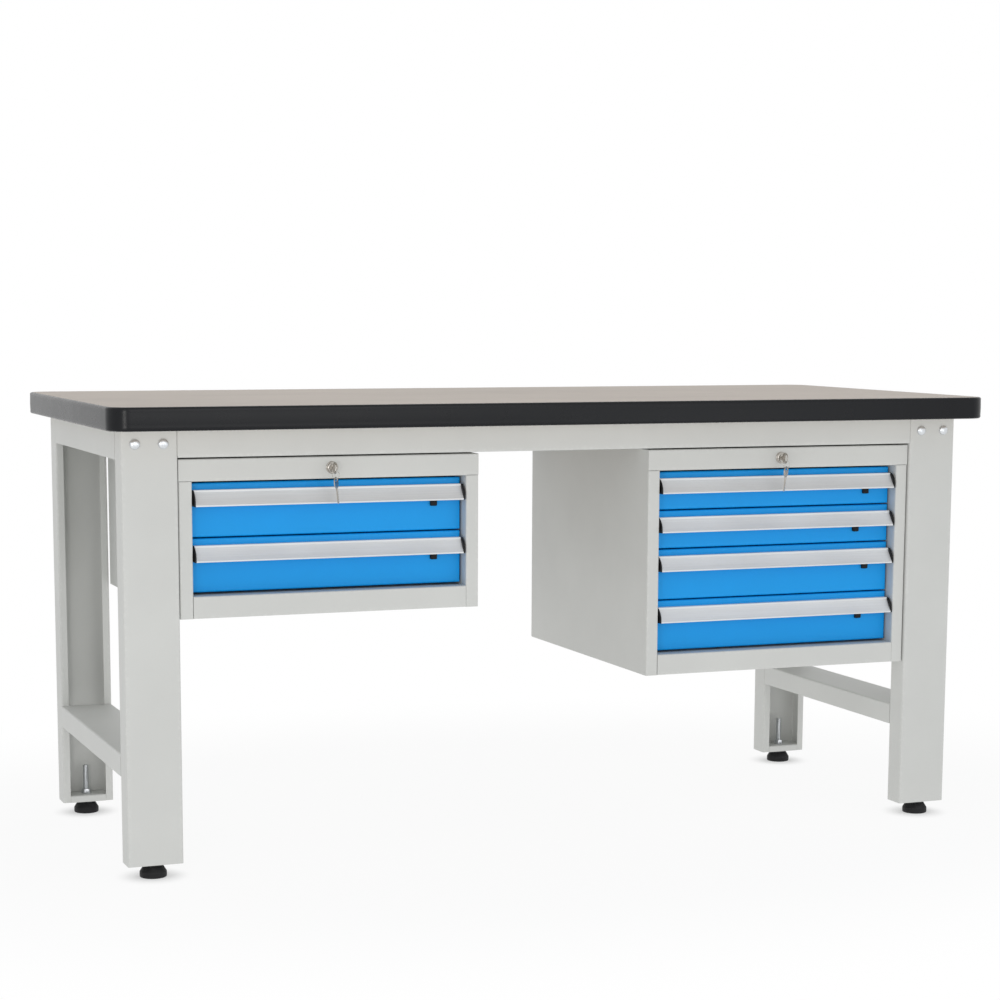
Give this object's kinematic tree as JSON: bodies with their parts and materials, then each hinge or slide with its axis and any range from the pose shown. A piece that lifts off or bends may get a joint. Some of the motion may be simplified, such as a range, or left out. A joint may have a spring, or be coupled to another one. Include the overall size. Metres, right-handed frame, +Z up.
{
  "type": "workbench with drawers",
  "caption": "Long workbench with a folded-steel frame, levelling feet, a black-edged worktop and hanging locking cabinets with full-width pull drawers.",
  "frame": {"origin": "on the floor under the middle of the worktop", "axes": "+X right along the worktop, +Y to the rear, +Z up; the drawers open towards -Y"},
  "size_m": [1.8, 0.8, 0.87],
  "materials": {
    "worktop_laminate": "beige hard-wearing laminate, fine matt texture",
    "black_edging": "moulded, satin",
    "grey_powder_coat": "light grey powder coat, satin, very fine grain",
    "blue_paint": "sky blue powder coat, satin",
    "anodised_aluminium": "natural anodised, fine drawn lines",
    "black_plastic": "moulded, satin",
    "black_rubber": "moulded, matt",
    "zinc_steel": "bright zinc plated",
    "nickel_lock": "nickel plated"
  },
  "bodies": {
    "bench": {"worktop_board": "worktop_laminate", "worktop_edging": "black_edging", "leg_front_left": "grey_powder_coat", "leg_front_right": "grey_powder_coat", "leg_rear_left": "grey_powder_coat", "leg_rear_right": "grey_powder_coat", "end_rail_left": "grey_powder_coat", "end_rail_right": "grey_powder_coat", "foot_rail_left": "grey_powder_coat", "foot_rail_right": "grey_powder_coat", "front_beam": "grey_powder_coat", "rear_beam": "grey_powder_coat", "cross_bars": "grey_powder_coat", "fasteners": "zinc_steel", "fixed_runners": "zinc_steel", "lock_barrels": "nickel_lock", "left_cabinet": "grey_powder_coat", "right_cabinet": "grey_powder_coat"},
    "foot_front_left": {"foot_front_left": "black_rubber"},
    "foot_front_right": {"foot_front_right": "black_rubber"},
    "foot_rear_left": {"foot_rear_left": "black_rubber"},
    "foot_rear_right": {"foot_rear_right": "black_rubber"},
    "left_lock": {"left_lock_plug": "nickel_lock", "left_key": "nickel_lock"},
    "left_lock_bar": {"left_lock_bar": "zinc_steel"},
    "left_key_ring": {"left_key_ring": "nickel_lock"},
    "left_drawer_1": {"left_drawer_1_tray": "blue_paint", "left_drawer_1_front": "blue_paint", "left_drawer_1_handle": "anodised_aluminium"},
    "left_drawer_1_latch": {"left_drawer_1_latch": "black_plastic"},
    "left_drawer_1_runners": {"left_drawer_1_runners": "zinc_steel"},
    "left_drawer_2": {"left_drawer_2_tray": "blue_paint", "left_drawer_2_front": "blue_paint", "left_drawer_2_handle": "anodised_aluminium"},
    "left_drawer_2_latch": {"left_drawer_2_latch": "black_plastic"},
    "left_drawer_2_runners": {"left_drawer_2_runners": "zinc_steel"},
    "right_lock": {"right_lock_plug": "nickel_lock", "right_key": "nickel_lock"},
    "right_lock_bar": {"right_lock_bar": "zinc_steel"},
    "right_key_ring": {"right_key_ring": "nickel_lock"},
    "right_drawer_1": {"right_drawer_1_tray": "blue_paint", "right_drawer_1_front": "blue_paint", "right_drawer_1_handle": "anodised_aluminium"},
    "right_drawer_1_latch": {"right_drawer_1_latch": "black_plastic"},
    "right_drawer_1_runners": {"right_drawer_1_runners": "zinc_steel"},
    "right_drawer_2": {"right_drawer_2_tray": "blue_paint", "right_drawer_2_front": "blue_paint", "right_drawer_2_handle": "anodised_aluminium"},
    "right_drawer_2_latch": {"right_drawer_2_latch": "black_plastic"},
    "right_drawer_2_runners": {"right_drawer_2_runners": "zinc_steel"},
    "right_drawer_3": {"right_drawer_3_tray": "blue_paint", "right_drawer_3_front": "blue_paint", "right_drawer_3_handle": "anodised_aluminium"},
    "right_drawer_3_latch": {"right_drawer_3_latch": "black_plastic"},
    "right_drawer_3_runners": {"right_drawer_3_runners": "zinc_steel"},
    "right_drawer_4": {"right_drawer_4_tray": "blue_paint", "right_drawer_4_front": "blue_paint", "right_drawer_4_handle": "anodised_aluminium"},
    "right_drawer_4_latch": {"right_drawer_4_latch": "black_plastic"},
    "right_drawer_4_runners": {"right_drawer_4_runners": "zinc_steel"}
  },
  "joints": [
    {"name": "foot_front_left_screw", "type": "slide", "parent": "bench", "child": "foot_front_left", "axis": [0, 0, -1], "range_m": [0, 0.03]},
    {"name": "foot_front_right_screw", "type": "slide", "parent": "bench", "child": "foot_front_right", "axis": [0, 0, -1], "range_m": [0, 0.03]},
    {"name": "foot_rear_left_screw", "type": "slide", "parent": "bench", "child": "foot_rear_left", "axis": [0, 0, -1], "range_m": [0, 0.03]},
    {"name": "foot_rear_right_screw", "type": "slide", "parent": "bench", "child": "foot_rear_right", "axis": [0, 0, -1], "range_m": [0, 0.03]},
    {"name": "left_key_turn", "type": "hinge", "parent": "bench", "child": "left_lock", "pos_m": [-0.469, -0.323, 0.7515], "axis": [0, -1, 0], "range_deg": [0, 90]},
    {"name": "left_lock_bar_lift", "type": "slide", "parent": "bench", "child": "left_lock_bar", "axis": [0, 0, 1], "range_m": [0, 0.0113]},
    {"name": "left_key_ring_swing", "type": "hinge", "parent": "left_lock", "child": "left_key_ring", "pos_m": [-0.469, -0.3465, 0.74349], "axis": [0, -1, 0], "range_deg": [-90, 0]},
    {"name": "left_drawer_1_slide", "type": "slide", "parent": "bench", "child": "left_drawer_1", "axis": [0, -1, 0], "range_m": [0, 0.48]},
    {"name": "left_drawer_1_runner_slide", "type": "slide", "parent": "bench", "child": "left_drawer_1_runners", "axis": [0, -1, 0], "range_m": [0, 0.24]},
    {"name": "left_drawer_1_latch_slide", "type": "slide", "parent": "left_drawer_1", "child": "left_drawer_1_latch", "axis": [1, 0, 0], "range_m": [-0.022, 0.012]},
    {"name": "left_drawer_2_slide", "type": "slide", "parent": "bench", "child": "left_drawer_2", "axis": [0, -1, 0], "range_m": [0, 0.48]},
    {"name": "left_drawer_2_runner_slide", "type": "slide", "parent": "bench", "child": "left_drawer_2_runners", "axis": [0, -1, 0], "range_m": [0, 0.24]},
    {"name": "left_drawer_2_latch_slide", "type": "slide", "parent": "left_drawer_2", "child": "left_drawer_2_latch", "axis": [1, 0, 0], "range_m": [-0.022, 0.012]},
    {"name": "right_key_turn", "type": "hinge", "parent": "bench", "child": "right_lock", "pos_m": [0.469, -0.323, 0.7515], "axis": [0, -1, 0], "range_deg": [0, 90]},
    {"name": "right_lock_bar_lift", "type": "slide", "parent": "bench", "child": "right_lock_bar", "axis": [0, 0, 1], "range_m": [0, 0.0113]},
    {"name": "right_key_ring_swing", "type": "hinge", "parent": "right_lock", "child": "right_key_ring", "pos_m": [0.469, -0.3465, 0.74349], "axis": [0, -1, 0], "range_deg": [-90, 0]},
    {"name": "right_drawer_1_slide", "type": "slide", "parent": "bench", "child": "right_drawer_1", "axis": [0, -1, 0], "range_m": [0, 0.48]},
    {"name": "right_drawer_1_runner_slide", "type": "slide", "parent": "bench", "child": "right_drawer_1_runners", "axis": [0, -1, 0], "range_m": [0, 0.24]},
    {"name": "right_drawer_1_latch_slide", "type": "slide", "parent": "right_drawer_1", "child": "right_drawer_1_latch", "axis": [1, 0, 0], "range_m": [-0.022, 0.012]},
    {"name": "right_drawer_2_slide", "type": "slide", "parent": "bench", "child": "right_drawer_2", "axis": [0, -1, 0], "range_m": [0, 0.48]},
    {"name": "right_drawer_2_runner_slide", "type": "slide", "parent": "bench", "child": "right_drawer_2_runners", "axis": [0, -1, 0], "range_m": [0, 0.24]},
    {"name": "right_drawer_2_latch_slide", "type": "slide", "parent": "right_drawer_2", "child": "right_drawer_2_latch", "axis": [1, 0, 0], "range_m": [-0.001, 0.033]},
    {"name": "right_drawer_3_slide", "type": "slide", "parent": "bench", "child": "right_drawer_3", "axis": [0, -1, 0], "range_m": [0, 0.48]},
    {"name": "right_drawer_3_runner_slide", "type": "slide", "parent": "bench", "child": "right_drawer_3_runners", "axis": [0, -1, 0], "range_m": [0, 0.24]},
    {"name": "right_drawer_3_latch_slide", "type": "slide", "parent": "right_drawer_3", "child": "right_drawer_3_latch", "axis": [1, 0, 0], "range_m": [-0.024, 0.01]},
    {"name": "right_drawer_4_slide", "type": "slide", "parent": "bench", "child": "right_drawer_4", "axis": [0, -1, 0], "range_m": [0, 0.48]},
    {"name": "right_drawer_4_runner_slide", "type": "slide", "parent": "bench", "child": "right_drawer_4_runners", "axis": [0, -1, 0], "range_m": [0, 0.24]},
    {"name": "right_drawer_4_latch_slide", "type": "slide", "parent": "right_drawer_4", "child": "right_drawer_4_latch", "axis": [1, 0, 0], "range_m": [-0.011, 0.023]}
  ],
  "couplings": [
    {"joint": "left_key_turn", "follows": "left_lock_bar_lift", "rad_per_m": 139},
    {"joint": "left_key_ring_swing", "follows": "left_lock_bar_lift", "rad_per_m": -139},
    {"joint": "left_drawer_1_runner_slide", "follows": "left_drawer_1_slide", "ratio": 0.5},
    {"joint": "left_drawer_2_runner_slide", "follows": "left_drawer_2_slide", "ratio": 0.5},
    {"joint": "right_key_turn", "follows": "right_lock_bar_lift", "rad_per_m": 139},
    {"joint": "right_key_ring_swing", "follows": "right_lock_bar_lift", "rad_per_m": -139},
    {"joint": "right_drawer_1_runner_slide", "follows": "right_drawer_1_slide", "ratio": 0.5},
    {"joint": "right_drawer_2_runner_slide", "follows": "right_drawer_2_slide", "ratio": 0.5},
    {"joint": "right_drawer_3_runner_slide", "follows": "right_drawer_3_slide", "ratio": 0.5},
    {"joint": "right_drawer_4_runner_slide", "follows": "right_drawer_4_slide", "ratio": 0.5}
  ]
}
